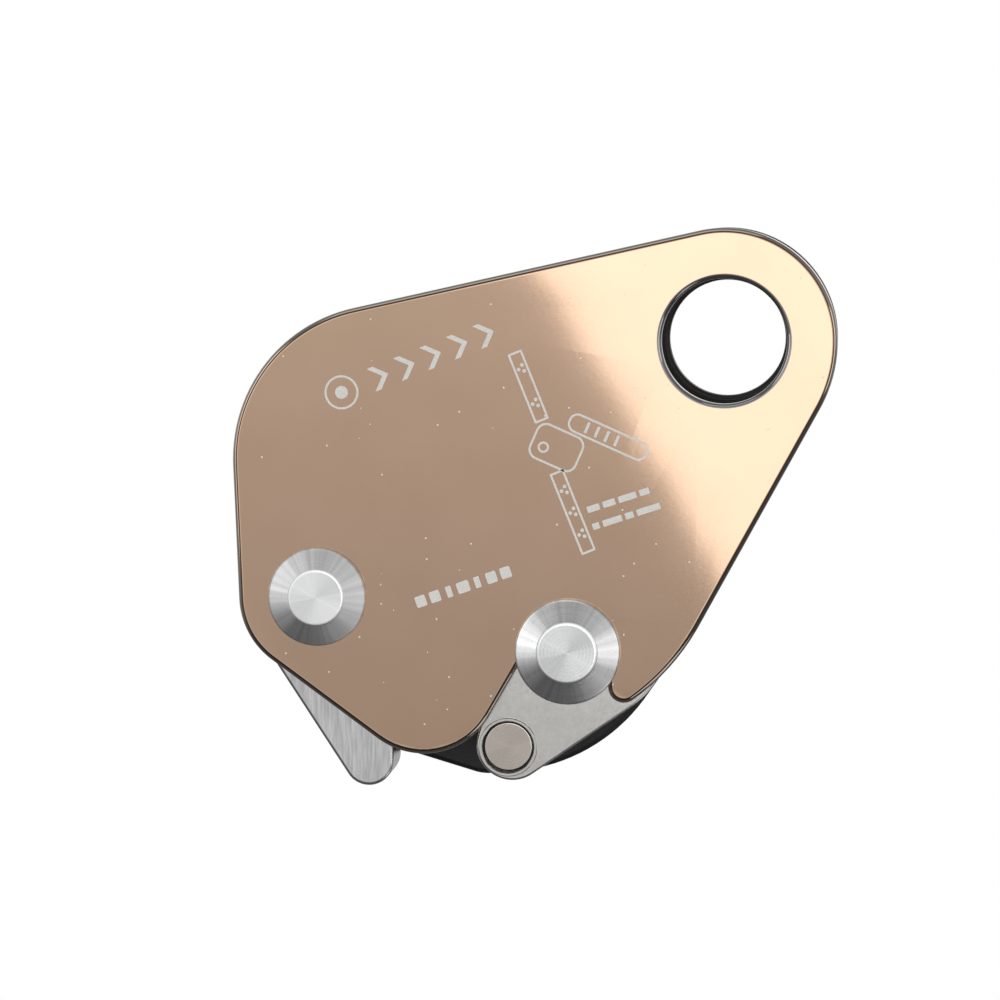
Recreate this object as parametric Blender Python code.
"""Swing-plate rope grab (ascender), built as separate pieces.

Frame: +X to the right, +Z up, +Y from the front plate to the back plate. The origin is on the rope's
centre line, at the height of the pivot axle and midway between the plates. Lengths are in metres.
"""

import math

import bmesh
import bpy
from mathutils import Matrix, Vector

MM = 0.001

# Depth stack, front to back
ROPE_GAP = 14.0 * MM            # between the tie arm and the back plate
BACK_PLATE_THICKNESS = 3.0 * MM
FRONT_PLATE_THICKNESS = 3.0 * MM
TIE_ARM_THICKNESS = 2.5 * MM
PLATE_GAP = 0.6 * MM            # between the tie arm and the front plate that passes it
HEAD_HEIGHT = 2.4 * MM
GAP = 0.3 * MM                  # clearance between pieces that touch or run on each other

# Plan of the axles and the eye, X and Z
PIVOT = Vector((-17.04, 0.0)) * MM
HOOK = Vector((18.21, -7.53)) * MM
GUIDE = Vector((9.55, -21.5)) * MM
EYE = Vector((39.97, 35.95)) * MM

# Plate outline: centres and radii of its corners, counter-clockwise from the flank
FLANK = Vector((8.52, 11.52)) * MM
FLANK_R = 32.0 * MM
EYE_FLANK_R = 19.4 * MM         # flatter run of the eye's lobe, towards the flank
EYE_LOBE_R = 15.8 * MM
SHOULDER = Vector((-7.35, 19.31)) * MM
SHOULDER_R = 21.7 * MM
PIVOT_CORNER_R = 11.2 * MM
CHIN = Vector((-2.24, -11.38)) * MM
CHIN_R = 10.8 * MM
CHIN_MARGIN = 2.5 * MM          # how far the back plate stands out under the front plate's chin
TIP_R = 2.2 * MM                # point of the front plate, past its notch
TIP_ANGLE = math.radians(-54.0)
TOE = Vector((5.5, -20.3)) * MM  # the back plate's own corners, below the guide pin
TOE_R = 7.0 * MM
SOLE = Vector((7.0, -1.1)) * MM
SOLE_R = 26.0 * MM
PLATE_FILLET = 0.8 * MM
BACK_EYE_R = 8.3 * MM
FRONT_EYE_R = 8.75 * MM
EYE_FILLET = 0.7 * MM

# Axles
SHANK_R = 3.0 * MM
PIVOT_HEAD_R = 6.9 * MM
HOOK_HEAD_R = 7.4 * MM
HEAD_FLAT_SHARE = 0.56          # flat middle of a head, as a share of its radius
HEAD_RIM = 0.9 * MM             # height of a head's cylindrical rim
HEAD_CHAMFER = 0.2 * MM
COLLAR_R = SHANK_R + 1.7 * MM   # the front plate's notch hooks round this collar
COLLAR_LIFT = 0.3 * MM
GUIDE_SHANK_R = 1.9 * MM
GUIDE_DISC_R = 3.35 * MM
GUIDE_DISC_DEPTH = 0.9 * MM     # how far the disc lies below the tie arm's face
GUIDE_DISC_HEIGHT = 1.2 * MM
DIMPLE_R = 0.5 * MM
DIMPLE_DEPTH = 0.3 * MM

# Rivet rings in the back plate
RIVET_WALL = 1.4 * MM
GUIDE_RIVET_WALL = 0.65 * MM
RIVET_DEPTH = 1.6 * MM
RIVETS = [("pivot", PIVOT, SHANK_R, RIVET_WALL), ("hook", HOOK, SHANK_R, RIVET_WALL),
          ("guide", GUIDE, GUIDE_SHANK_R, GUIDE_RIVET_WALL)]

# Bushes, washers, spacers
BUSH_WALL = 1.4 * MM
WASHER_THICKNESS = 0.8 * MM
WASHER_R = SHANK_R + 3.0 * MM
SPACER_WALL = 2.0 * MM
ROLLER_R = 3.3 * MM
ROLLER_GROOVE = 0.4 * MM
ROLLER_ROWS = 8                 # steps along the roller's groove
ROLLER_WASHER_THICKNESS = 0.6 * MM

# Tie arm: a link between two round ends, with a raised ring round the guide pin's disc
ARM_HOOK = Vector((20.5, -6.0)) * MM
ARM_HOOK_R = 11.65 * MM
RING_HEIGHT = 0.25 * MM
RING_WIDTH = 0.5 * MM
RING_ROOT = 0.5 * MM            # metal left behind the ring's root
ARM_GUIDE = GUIDE + Vector((0.55, 0.35)) * MM
ARM_GUIDE_R = GUIDE_DISC_R + GAP + RING_WIDTH + 0.9 * MM
ARM_FILLET = 0.35 * MM

# Cam jaw
JAW_HUB_R = 10.8 * MM
JAW_TIP_R = 3.5 * MM
JAW_FACE_X = -6.8 * MM          # the face on the rope, left of the rope's centre line
JAW_TIP_Z = -23.7 * MM
JAW_NOSE_R = 3.0 * MM
JAW_NOSE_Z = 7.5 * MM
JAW_FILLET = 0.5 * MM
TOOTH_PITCH = 2.4 * MM
TOOTH_DEPTH = 0.5 * MM
TOOTH_SLOPE = 0.5               # half width of a tooth's groove for each unit of depth
TOOTH_COUNT = 5

# Spring and pins
WIRE_R = 0.45 * MM
SPRING_TURNS = 2.25
SPRING_PITCH = 2 * WIRE_R + 0.25 * MM
SPRING_SPACE = GAP + 2 * WIRE_R + SPRING_TURNS * SPRING_PITCH  # depth behind the jaw
SPRING_LEG = 4.5 * MM
SPRING_LEG_ANGLE = math.radians(100.0)  # where the fixed leg leaves the coil
SPRING_HOOK = 1.2 * MM          # how far the free leg's bent end reaches into the jaw
ANCHOR_PIN_R = 1.0 * MM
STOP_PIN_R = 1.3 * MM
STOP_ORBIT = 13.0 * MM
STOP_ANGLE = math.radians(-67.0)
STOP_DEPTH = 3.0 * MM           # how far the stop pin reaches into the jaw's pocket
JAW_OPEN = math.radians(10.0)   # swing away from the rope
JAW_CLOSE = math.radians(18.0)  # swing towards the rope

# Where each layer lies along Y
BACK_INNER = ROPE_GAP / 2
BACK_OUTER = BACK_INNER + BACK_PLATE_THICKNESS
ARM_BACK = -ROPE_GAP / 2
ARM_FRONT = ARM_BACK - TIE_ARM_THICKNESS
FRONT_INNER = ARM_FRONT - PLATE_GAP
FRONT_OUTER = FRONT_INNER - FRONT_PLATE_THICKNESS
HEAD_BACK = FRONT_OUTER - GAP
HEAD_FRONT = HEAD_BACK - HEAD_HEIGHT
WASHER_FRONT = FRONT_INNER + GAP
WASHER_BACK = WASHER_FRONT + WASHER_THICKNESS
JAW_FRONT = WASHER_BACK + GAP
JAW_BACK = BACK_INNER - GAP - SPRING_SPACE
SHANK_END = BACK_OUTER - GAP

ROUND_STEPS = 24
ARC_STEP = math.radians(10.0)
MERGE = 0.01 * MM               # points of an outline closer than this are one
CUT_MARGIN = 1.0 * MM           # how far a cutter stands out of the piece it cuts


# --- Scene and object helpers -------------------------------------------------------------------

def clear_scene():
    for item in list(bpy.context.scene.objects):
        bpy.data.objects.remove(item, do_unlink=True)


def make_material(name, color, roughness, metallic):
    material = bpy.data.materials.new(name)
    material.use_nodes = True
    shader = material.node_tree.nodes["Principled BSDF"]
    shader.inputs["Base Color"].default_value = (*color, 1.0)
    shader.inputs["Roughness"].default_value = roughness
    shader.inputs["Metallic"].default_value = metallic
    return material


def add_object(name, mesh, material=None, origin=(0.0, 0.0, 0.0), parent=None):
    """Link a mesh given in world space, with its origin moved to the given point."""
    mesh.transform(Matrix.Translation(-Vector(origin)))
    item = bpy.data.objects.new(name, mesh)
    bpy.context.scene.collection.objects.link(item)
    if material:
        mesh.materials.append(material)
    item.parent = parent
    offset = Vector(parent.location) if parent else Vector((0.0, 0.0, 0.0))
    item.location = Vector(origin) - offset
    return item


def add_empty(name, location):
    empty = bpy.data.objects.new(name, None)
    empty.empty_display_size = 5 * MM
    empty.location = location
    bpy.context.scene.collection.objects.link(empty)
    return empty


def add_cutter(name, mesh):
    cutter = add_object(name, mesh)
    cutter.hide_render = True
    cutter.display_type = "WIRE"
    return cutter


def cut(item, cutter, operation="DIFFERENCE"):
    boolean = item.modifiers.new(cutter.name, "BOOLEAN")
    boolean.operation = operation
    boolean.object = cutter


def round_edges(item, width, segments=2, angle=35.0):
    bevel = item.modifiers.new("rounded edges", "BEVEL")
    bevel.width = width
    bevel.segments = segments
    bevel.limit_method = "ANGLE"
    bevel.angle_limit = math.radians(angle)


def smooth(mesh, angle=30.0):
    mesh.shade_smooth()
    mesh.set_sharp_from_angle(angle=math.radians(angle))


# --- Outlines -----------------------------------------------------------------------------------

def polar(radius, angle):
    return Vector((math.cos(angle), math.sin(angle))) * radius


def nest(outer, angle, radius):
    """The circle of the given radius that touches an outer circle from within, at an angle."""
    centre, outer_radius = outer
    return centre + polar(outer_radius - radius, angle), radius


def tangent_angle(circle, following):
    """Angle of the outward normal on the straight edge from one circle to the next.

    A negative radius is a hollow corner, whose circle lies outside the outline.
    """
    step = following[0] - circle[0]
    ratio = (circle[1] - following[1]) / step.length
    ratio = max(-1.0, min(1.0, ratio))
    return math.atan2(step.y, step.x) - math.acos(ratio)


def arc_angles(start, turn):
    """Angles along an arc: its ends, and the whole multiples of ARC_STEP well between them."""
    first, last = sorted((start, start + turn))
    margin = 0.1 * ARC_STEP
    whole = range(math.ceil((first + margin) / ARC_STEP), math.floor((last - margin) / ARC_STEP) + 1)
    angles = [first] + [count * ARC_STEP for count in whole] + [last]
    return angles if turn >= 0 else angles[::-1]


def belt(circles):
    """Outline round circles given counter-clockwise: arcs joined by their tangents."""
    points = []
    for index, (centre, radius) in enumerate(circles):
        before = circles[index - 1]
        after = circles[(index + 1) % len(circles)]
        start = tangent_angle(before, (centre, radius))
        end = tangent_angle((centre, radius), after)
        turn = (end - start) % (2 * math.pi)
        if radius < 0:
            turn -= 2 * math.pi
        for angle in arc_angles(start, turn):
            point = centre + polar(radius, angle)
            if not points or (point - points[-1]).length > MERGE:
                points.append(point)
    if (points[0] - points[-1]).length < MERGE:
        points.pop()
    return points


def arc_slot(centre, orbit, start, end, half_width):
    """Outline of a round-ended slot that follows an arc about a centre."""
    points = []
    steps = 8
    for step in range(steps + 1):
        angle = start + (end - start) * step / steps
        points.append(centre + polar(orbit + half_width, angle))
    for step in range(1, steps):
        angle = end + math.pi * step / steps
        points.append(centre + polar(orbit, end) + polar(half_width, angle))
    for step in range(steps + 1):
        angle = end + (start - end) * step / steps
        points.append(centre + polar(orbit - half_width, angle))
    for step in range(1, steps):
        angle = start + math.pi + math.pi * step / steps
        points.append(centre + polar(orbit, start) + polar(half_width, angle))
    return points


def slab(name, outline, y_front, y_back):
    """Mesh of an outline in the XZ plane, extruded along Y."""
    shape = bmesh.new()
    front = [shape.verts.new((point.x, y_front, point.y)) for point in outline]
    face = shape.faces.new(front)
    grown = bmesh.ops.extrude_face_region(shape, geom=[face])
    moved = [piece for piece in grown["geom"] if isinstance(piece, bmesh.types.BMVert)]
    bmesh.ops.translate(shape, verts=moved, vec=(0.0, y_back - y_front, 0.0))
    bmesh.ops.recalc_face_normals(shape, faces=shape.faces)
    mesh = bpy.data.meshes.new(name)
    shape.to_mesh(mesh)
    shape.free()
    return mesh


def turned(name, centre, profile, steps=ROUND_STEPS):
    """Mesh turned about a Y axis at a plan centre, from a closed profile of (radius, y) points."""
    shape = bmesh.new()
    rings = []
    for radius, y in profile:
        if radius < 0.001 * MM:
            rings.append([shape.verts.new((centre.x, y, centre.y))])
            continue
        ring = []
        for step in range(steps):
            point = centre + polar(radius, 2 * math.pi * step / steps)
            ring.append(shape.verts.new((point.x, y, point.y)))
        rings.append(ring)
    closed = len(rings[0]) > 1
    count = len(rings)
    for index in range(count if closed else count - 1):
        near = rings[index]
        far = rings[(index + 1) % count]
        for step in range(steps):
            after = (step + 1) % steps
            if len(near) == 1:
                shape.faces.new((near[0], far[step], far[after]))
            elif len(far) == 1:
                shape.faces.new((near[step], far[0], near[after]))
            else:
                shape.faces.new((near[step], far[step], far[after], near[after]))
    bmesh.ops.recalc_face_normals(shape, faces=shape.faces)
    mesh = bpy.data.meshes.new(name)
    shape.to_mesh(mesh)
    shape.free()
    smooth(mesh)
    return mesh


def tube_profile(inner, outer, y_front, y_back):
    return [(inner, y_front), (outer, y_front), (outer, y_back), (inner, y_back)]


def rod_profile(radius, y_front, y_back):
    return [(0.0, y_front), (radius, y_front), (radius, y_back), (0.0, y_back)]


def headed_profile(head_radius, steps):
    """Rivet head with a flat middle and a conical ring, then a stepped shank of (radius, y) pairs."""
    flat = head_radius * HEAD_FLAT_SHARE
    rim_front = HEAD_BACK - HEAD_RIM
    profile = [(0.0, HEAD_FRONT), (flat, HEAD_FRONT), (head_radius - HEAD_CHAMFER, rim_front),
               (head_radius, rim_front + HEAD_CHAMFER), (head_radius, HEAD_BACK)]
    y_from = HEAD_BACK
    for radius, y_to in steps:
        profile.append((radius, y_from))
        profile.append((radius, y_to))
        y_from = y_to
    profile.append((0.0, y_from))
    return profile


# --- Outlines of this object --------------------------------------------------------------------

def shared_corners():
    """Corners that both plates have, counter-clockwise from the flank to the pivot."""
    eye = (EYE, EYE_LOBE_R)
    return [(FLANK, FLANK_R), nest(eye, 0.0, EYE_FLANK_R), eye, (SHOULDER, SHOULDER_R),
            (PIVOT, PIVOT_CORNER_R)]


def back_outline():
    chin = (CHIN, CHIN_R + CHIN_MARGIN)
    return belt([chin, (TOE, TOE_R), (SOLE, SOLE_R)] + shared_corners())


def front_outline():
    tip = nest((FLANK, FLANK_R), TIP_ANGLE, TIP_R)
    notch = (HOOK, -(COLLAR_R + GAP))
    return belt([(CHIN, CHIN_R), notch, tip] + shared_corners())


def jaw_corners():
    tip = (Vector((JAW_FACE_X - JAW_TIP_R, JAW_TIP_Z)), JAW_TIP_R)
    nose = (Vector((JAW_FACE_X - JAW_NOSE_R, JAW_NOSE_Z)), JAW_NOSE_R)
    return [tip, nose, (PIVOT, JAW_HUB_R)]


# --- Pieces -------------------------------------------------------------------------------------

def hole(name, centre, radius, y_front, y_back):
    """Cutter for a plain hole through a layer."""
    rod = rod_profile(radius, y_front - CUT_MARGIN, y_back + CUT_MARGIN)
    return add_cutter(name, turned(name, centre, rod))


def eye_hole(name, radius, y_front, y_back):
    """Cutter for the carabiner eye, which has rounded edges at both faces."""
    wide = radius + EYE_FILLET
    mid = EYE_FILLET * (1 - math.sin(math.pi / 4))
    profile = [(0.0, y_front - CUT_MARGIN), (wide, y_front - CUT_MARGIN), (wide, y_front),
               (radius + mid, y_front + mid), (radius, y_front + EYE_FILLET),
               (radius, y_back - EYE_FILLET), (radius + mid, y_back - mid),
               (wide, y_back), (wide, y_back + CUT_MARGIN), (0.0, y_back + CUT_MARGIN)]
    return add_cutter(name, turned(name, EYE, profile))


def make_back_plate(material):
    layer = (BACK_INNER, BACK_OUTER)
    plate = add_object("back_plate", slab("back_plate", back_outline(), *layer), material)
    round_edges(plate, PLATE_FILLET)
    cut(plate, eye_hole("back_eye_cut", BACK_EYE_R, *layer))
    seat_floor = BACK_OUTER - RIVET_DEPTH - GAP
    for label, centre, shank, wall in RIVETS:
        bore = shank + GAP
        seat = bore + wall + GAP
        stepped = [(0.0, BACK_INNER - CUT_MARGIN), (bore, BACK_INNER - CUT_MARGIN),
                   (bore, seat_floor), (seat, seat_floor), (seat, BACK_OUTER + CUT_MARGIN),
                   (0.0, BACK_OUTER + CUT_MARGIN)]
        cut(plate, add_cutter(label + "_seat_cut", turned(label + "_seat_cut", centre, stepped)))
    cut(plate, hole("anchor_pin_cut", anchor_point(), ANCHOR_PIN_R + GAP, *layer))
    cut(plate, hole("stop_pin_cut", stop_point(), STOP_PIN_R + GAP, *layer))


def make_front_plate(material, pivot):
    layer = (FRONT_OUTER, FRONT_INNER)
    plate = add_object("front_plate", slab("front_plate", front_outline(), *layer), material,
                       pivot.location, pivot)
    round_edges(plate, PLATE_FILLET)
    cut(plate, eye_hole("front_eye_cut", FRONT_EYE_R, *layer))
    cut(plate, hole("front_bush_cut", PIVOT, SHANK_R + BUSH_WALL + 2 * GAP, *layer))


def make_pivot_stack(steel, bronze, pivot):
    """Everything threaded on the pivot axle, front to back."""
    inner = SHANK_R + GAP
    axle = headed_profile(PIVOT_HEAD_R, [(SHANK_R, SHANK_END)])
    bush = tube_profile(inner, inner + BUSH_WALL, FRONT_OUTER, FRONT_INNER)
    washer = tube_profile(inner, WASHER_R, WASHER_FRONT, WASHER_BACK)
    spool = tube_profile(inner, inner + BUSH_WALL, JAW_BACK + GAP, BACK_INNER - GAP)
    add_object("front_plate_bush", turned("front_plate_bush", PIVOT, bush),
               bronze("front_plate_bush"), pivot.location, pivot)
    for name, profile in (("pivot_axle", axle), ("pivot_spacer_washer", washer),
                          ("spring_spool", spool)):
        add_object(name, turned(name, PIVOT, profile), steel(name))


def make_jaw(material, bronze, pivot):
    layer = (JAW_FRONT, JAW_BACK)
    jaw = add_object("cam_jaw", slab("cam_jaw", belt(jaw_corners()), *layer), material,
                     pivot.location, pivot)
    round_edges(jaw, JAW_FILLET)
    cut(jaw, hole("cam_bush_cut", PIVOT, SHANK_R + BUSH_WALL + 2 * GAP, *layer))
    leg = free_leg_end() - PIVOT
    grooves = [("stop_pocket_cut", STOP_ORBIT, STOP_ANGLE, STOP_PIN_R, STOP_DEPTH),
               ("spring_leg_cut", leg.length, math.atan2(leg.y, leg.x), WIRE_R, SPRING_HOOK)]
    for name, orbit, angle, radius, depth in grooves:
        outline = arc_slot(PIVOT, orbit, angle - JAW_CLOSE, angle + JAW_OPEN, radius + GAP)
        cut(jaw, add_cutter(name, slab(name, outline, JAW_BACK - depth - GAP, JAW_BACK + CUT_MARGIN)))
    reach = TOOTH_DEPTH + JAW_FILLET
    for index in range(TOOTH_COUNT):
        root = Vector((JAW_FACE_X - TOOTH_DEPTH, (index - (TOOTH_COUNT - 1) / 2) * TOOTH_PITCH))
        tooth = [root, root + Vector((reach, -TOOTH_SLOPE * reach)),
                 root + Vector((reach, TOOTH_SLOPE * reach))]
        groove = slab("tooth_cut", tooth, JAW_FRONT - CUT_MARGIN, JAW_BACK + CUT_MARGIN)
        cut(jaw, add_cutter("tooth_cut_%d" % (index + 1), groove))
    bush = tube_profile(SHANK_R + GAP, SHANK_R + GAP + BUSH_WALL, JAW_FRONT, JAW_BACK)
    add_object("cam_bush", turned("cam_bush", PIVOT, bush), bronze("cam_bush"), pivot.location, pivot)


def stop_point():
    return PIVOT + polar(STOP_ORBIT, STOP_ANGLE)


def coil_radius():
    return SHANK_R + BUSH_WALL + 2 * GAP + WIRE_R + GAP


def anchor_point():
    """The anchor pin stands on the outer side of the fixed leg, near its end."""
    start = PIVOT + polar(coil_radius(), SPRING_LEG_ANGLE)
    along = polar(SPRING_LEG - ANCHOR_PIN_R, SPRING_LEG_ANGLE + math.pi / 2)
    away = polar(WIRE_R + ANCHOR_PIN_R + GAP, SPRING_LEG_ANGLE)
    return start + along + away


def free_leg_angle():
    """Where the free leg leaves the coil, after all its turns."""
    return SPRING_LEG_ANGLE - SPRING_TURNS * 2 * math.pi


def free_leg_end():
    """Plan point of the free leg's bent end."""
    angle = free_leg_angle()
    return PIVOT + polar(coil_radius(), angle) + polar(SPRING_LEG, angle - math.pi / 2)


def make_spring(material):
    """Torsion spring round the spool: a helix, a straight fixed leg and a bent free leg."""
    y_back = BACK_INNER - GAP - WIRE_R
    steps = int(SPRING_TURNS * 20)
    path = []
    for step in range(steps + 1):
        share = step / steps
        angle = SPRING_LEG_ANGLE + (free_leg_angle() - SPRING_LEG_ANGLE) * share
        point = PIVOT + polar(coil_radius(), angle)
        path.append(Vector((point.x, y_back - SPRING_PITCH * SPRING_TURNS * share, point.y)))
    fixed = polar(SPRING_LEG, SPRING_LEG_ANGLE + math.pi / 2)
    path.insert(0, path[0] + Vector((fixed.x, 0.0, fixed.y)))
    y_free = path[-1].y
    end = free_leg_end()
    inward = (path[-1] - Vector((end.x, y_free, end.y))).normalized()
    for corner in range(4):
        turn = math.pi / 2 * corner / 3
        bend = 2 * WIRE_R
        shift = inward * bend * (1 - math.sin(turn))
        drop = bend * (1 - math.cos(turn))
        path.append(Vector((end.x, y_free - drop, end.y)) + shift)
    path.append(Vector((end.x, JAW_BACK - SPRING_HOOK, end.y)))
    curve = bpy.data.curves.new("cam_spring", "CURVE")
    curve.dimensions = "3D"
    curve.bevel_depth = WIRE_R
    curve.bevel_resolution = 2
    curve.use_fill_caps = True
    curve.render_resolution_u = 0
    spline = curve.splines.new("POLY")
    spline.points.add(len(path) - 1)
    for spline_point, place in zip(spline.points, path):
        spline_point.co = (*place, 1.0)
    curve.materials.append(material)
    spring = bpy.data.objects.new("cam_spring", curve)
    bpy.context.scene.collection.objects.link(spring)


def make_hook_stack(steel):
    collar_back = ARM_FRONT - COLLAR_LIFT
    profile = headed_profile(HOOK_HEAD_R, [(COLLAR_R, collar_back), (SHANK_R, SHANK_END)])
    add_object("hook_axle", turned("hook_axle", HOOK, profile), steel("hook_axle"))
    inner = SHANK_R + GAP
    spacer = tube_profile(inner, inner + SPACER_WALL, ARM_BACK + GAP, BACK_INNER - GAP)
    add_object("hook_spacer", turned("hook_spacer", HOOK, spacer), steel("hook_spacer"))


def make_tie_arm(material):
    layer = (ARM_FRONT, ARM_BACK)
    outline = belt([(ARM_GUIDE, ARM_GUIDE_R), (ARM_HOOK, ARM_HOOK_R)])
    arm = add_object("tie_arm", slab("tie_arm", outline, *layer), material)
    round_edges(arm, ARM_FILLET)
    disc_hole = GUIDE_DISC_R + GAP
    ring = tube_profile(disc_hole, disc_hole + RING_WIDTH, ARM_FRONT - RING_HEIGHT, ARM_BACK - RING_ROOT)
    cut(arm, add_cutter("arm_ring_join", turned("arm_ring_join", GUIDE, ring)), "UNION")
    cut(arm, hole("arm_hook_cut", HOOK, SHANK_R + GAP, *layer))
    cut(arm, hole("arm_guide_cut", GUIDE, disc_hole, *layer))


def make_guide_stack(steel):
    """The guide pin with its roller, between two washers."""
    disc_front = ARM_FRONT + GUIDE_DISC_DEPTH
    disc_back = disc_front + GUIDE_DISC_HEIGHT
    pin = [(0.0, disc_front + DIMPLE_DEPTH), (DIMPLE_R, disc_front), (GUIDE_DISC_R, disc_front),
           (GUIDE_DISC_R, disc_back), (GUIDE_SHANK_R, disc_back), (GUIDE_SHANK_R, SHANK_END),
           (0.0, SHANK_END)]
    inner = GUIDE_SHANK_R + GAP
    front = ARM_BACK + GAP
    back = BACK_INNER - GAP
    thick = ROLLER_WASHER_THICKNESS
    front_washer = tube_profile(inner, ROLLER_R - GAP, front, front + thick)
    back_washer = tube_profile(inner, ROLLER_R - GAP, back - thick, back)
    for name, profile in (("guide_pin", pin), ("roller_front_washer", front_washer),
                          ("roller_back_washer", back_washer)):
        add_object(name, turned(name, GUIDE, profile), steel(name))
    y_front = front + thick + GAP
    y_back = back - thick - GAP
    roller = [(inner, y_front)]
    for row in range(ROLLER_ROWS + 1):
        share = row / ROLLER_ROWS
        radius = ROLLER_R - ROLLER_GROOVE * math.sin(math.pi * share) ** 2
        roller.append((radius, y_front + (y_back - y_front) * share))
    roller.append((inner, y_back))
    spin = add_empty("guide_roller_axis", (GUIDE.x, 0.0, GUIDE.y))
    add_object("guide_roller", turned("guide_roller", GUIDE, roller), steel("guide_roller"),
               spin.location, spin)


def make_rivet_rings(steel):
    for label, centre, shank, wall in RIVETS:
        name = label + "_rivet_ring"
        inner = shank + GAP
        ring = tube_profile(inner, inner + wall, BACK_OUTER - RIVET_DEPTH, BACK_OUTER - GAP)
        add_object(name, turned(name, centre, ring), steel(name))


def make_pins(steel):
    pins = [("spring_anchor_pin", anchor_point(), ANCHOR_PIN_R, JAW_BACK + 2 * GAP),
            ("cam_stop_pin", stop_point(), STOP_PIN_R, JAW_BACK - STOP_DEPTH)]
    for name, centre, radius, y_front in pins:
        add_object(name, turned(name, centre, rod_profile(radius, y_front, SHANK_END), 20), steel(name))


def main():
    clear_scene()
    pivot_place = (PIVOT.x, 0.0, PIVOT.y)
    front_pivot = add_empty("front_plate_axis", pivot_place)
    jaw_pivot = add_empty("cam_jaw_axis", pivot_place)

    def steel(name):
        return make_material(name, (0.60, 0.60, 0.60), 0.28, 1.0)

    def bronze(name):
        return make_material(name, (0.45, 0.30, 0.13), 0.35, 1.0)

    make_back_plate(make_material("back_plate", (0.012, 0.012, 0.012), 0.35, 0.3))
    make_front_plate(make_material("front_plate", (0.42, 0.29, 0.21), 0.25, 1.0), front_pivot)
    make_pivot_stack(steel, bronze, front_pivot)
    make_jaw(make_material("cam_jaw", (0.45, 0.45, 0.44), 0.35, 1.0), bronze, jaw_pivot)
    make_spring(make_material("cam_spring", (0.35, 0.35, 0.36), 0.3, 1.0))
    make_hook_stack(steel)
    make_tie_arm(make_material("tie_arm", (0.50, 0.49, 0.46), 0.3, 1.0))
    make_guide_stack(steel)
    make_rivet_rings(steel)
    make_pins(steel)


main()
